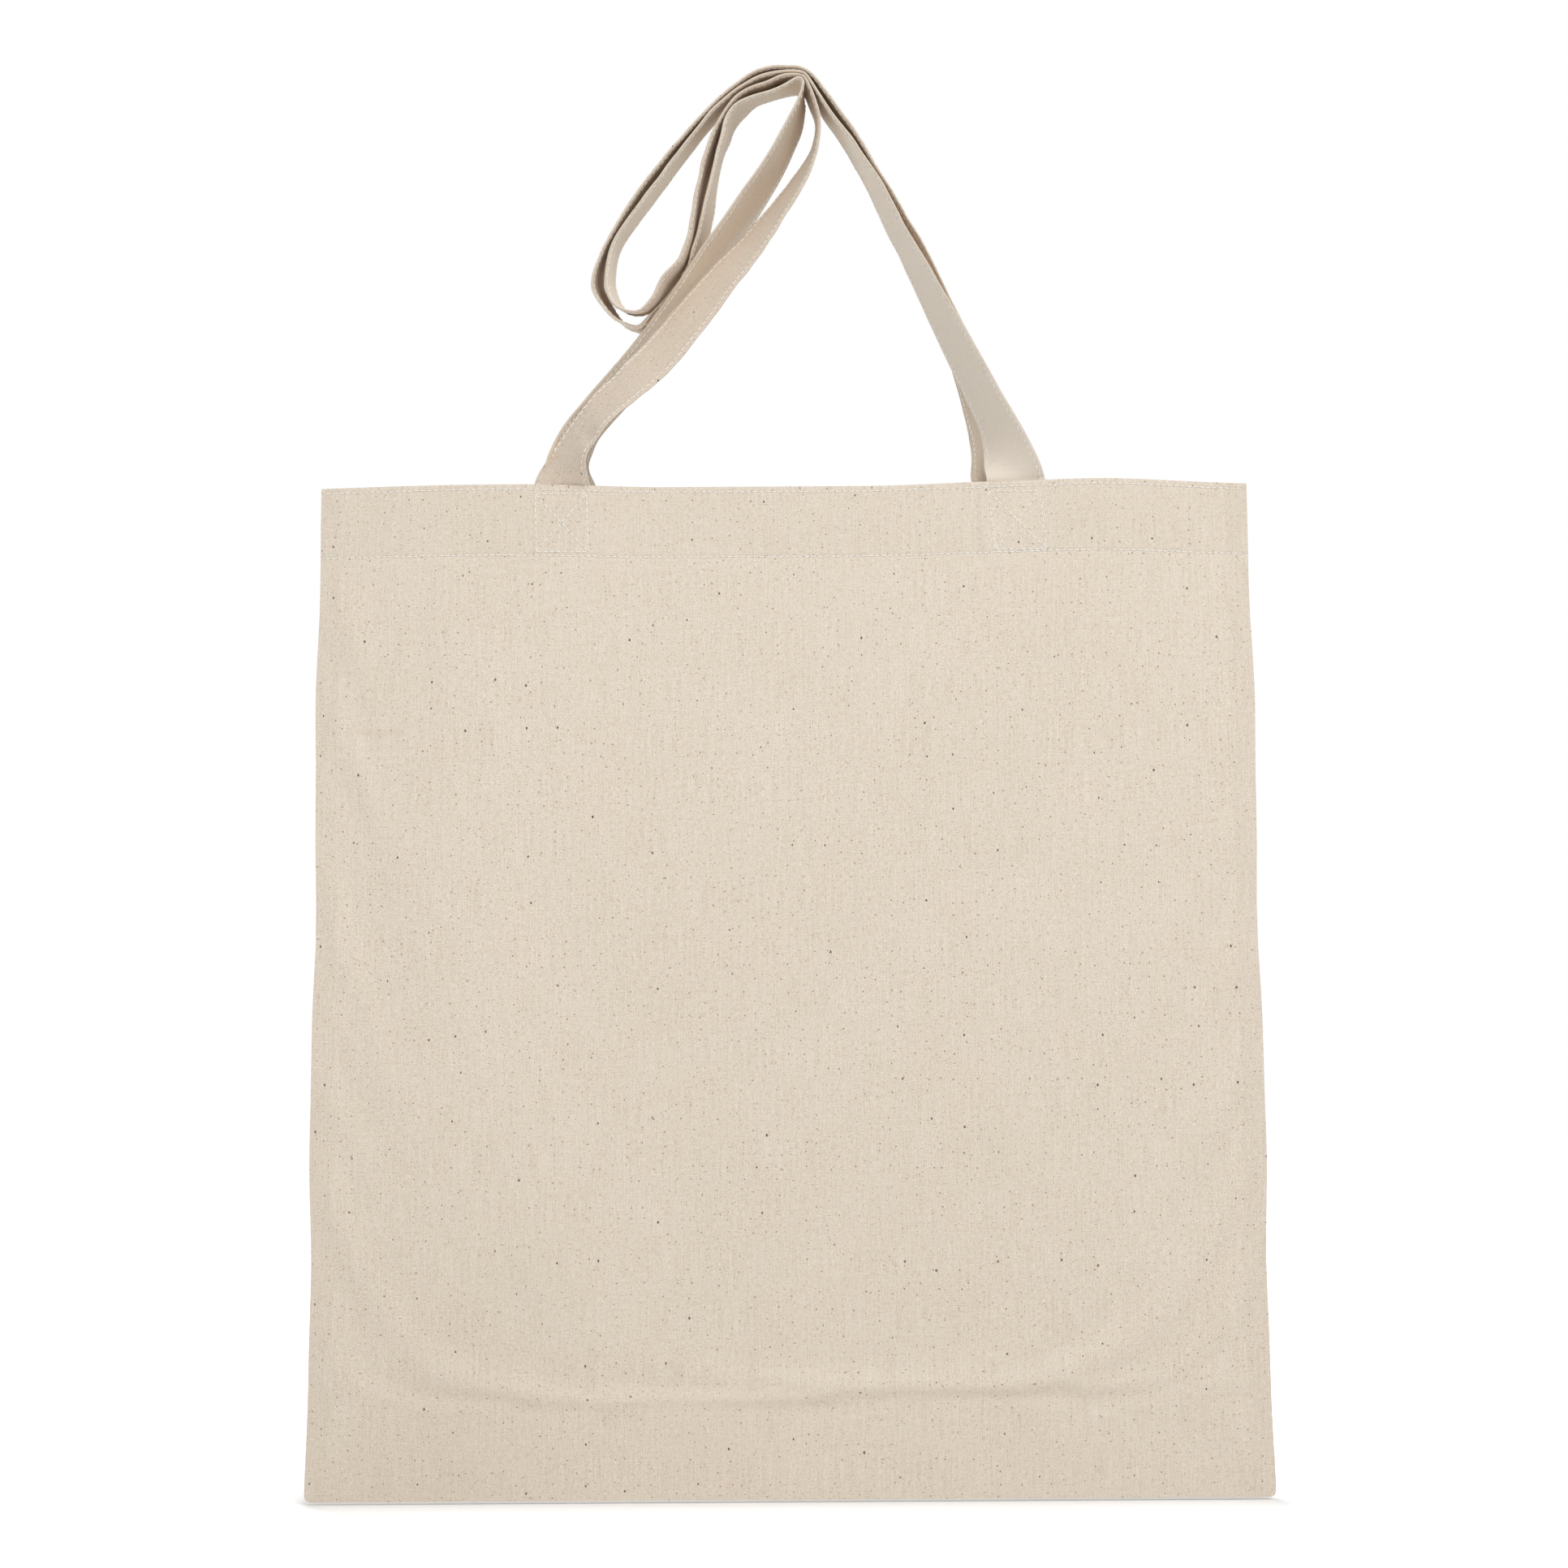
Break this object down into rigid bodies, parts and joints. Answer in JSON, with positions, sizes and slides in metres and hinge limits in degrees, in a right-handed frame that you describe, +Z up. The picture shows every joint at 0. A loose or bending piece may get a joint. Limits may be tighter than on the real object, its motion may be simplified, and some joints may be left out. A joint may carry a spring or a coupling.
{
  "type": "canvas tote bag",
  "caption": "Flat natural canvas tote bag hanging by two long flat handles wound over a peg, with a turned-in hem and box-stitched handle ends.",
  "frame": {"origin": "the thin peg that the bag hangs on, inside the handles' innermost turn and on the bag's middle plane", "axes": "+Z up, the bag's front towards -Y, +X to the right seen from the front"},
  "size_m": [0.381, 0.0433, 0.5841],
  "materials": {
    "canvas": "undyed plain-weave cotton canvas with seed flecks",
    "hem": "turned-in canvas hem",
    "seam": "raw canvas seam allowance",
    "strap": "folded canvas strap, edge stitched",
    "thread": "cream cotton thread"
  },
  "bodies": {
    "back_side": {"back_panel": "canvas", "back_hem": "hem", "bottom_fold": "canvas", "left_seam": "seam", "right_seam": "seam", "left_seam_stitching": "thread", "right_seam_stitching": "thread", "back_handle_left_end": "strap", "back_handle_right_end": "strap", "back_left_box_stitching": "thread", "back_right_box_stitching": "thread", "back_hem_stitching": "thread", "back_edge_stitching": "thread"},
    "front_side": {"front_panel": "canvas", "front_hem": "hem", "front_handle_left_end": "strap", "front_handle_right_end": "strap", "front_left_box_stitching": "thread", "front_right_box_stitching": "thread", "front_hem_stitching": "thread", "front_edge_stitching": "thread"},
    "front_handle": {"front_handle": "strap"},
    "back_handle": {"back_handle": "strap"}
  },
  "joints": [
    {"name": "mouth_opening", "type": "hinge", "parent": "back_side", "child": "front_side", "pos_m": [0, -0.0012, -0.573], "axis": [1, 0, 0], "range_deg": [0, 6], "stiffness_Nm_per_rad": 0.3, "springref_deg": -2.86},
    {"name": "front_handle_fold", "type": "hinge", "parent": "front_side", "child": "front_handle", "pos_m": [0, -0.00485, -0.158], "axis": [1, 0, 0], "range_deg": [0, 85]},
    {"name": "back_handle_fold", "type": "hinge", "parent": "back_side", "child": "back_handle", "pos_m": [0, 0.00485, -0.158], "axis": [-1, 0, 0], "range_deg": [0, 85]}
  ]
}
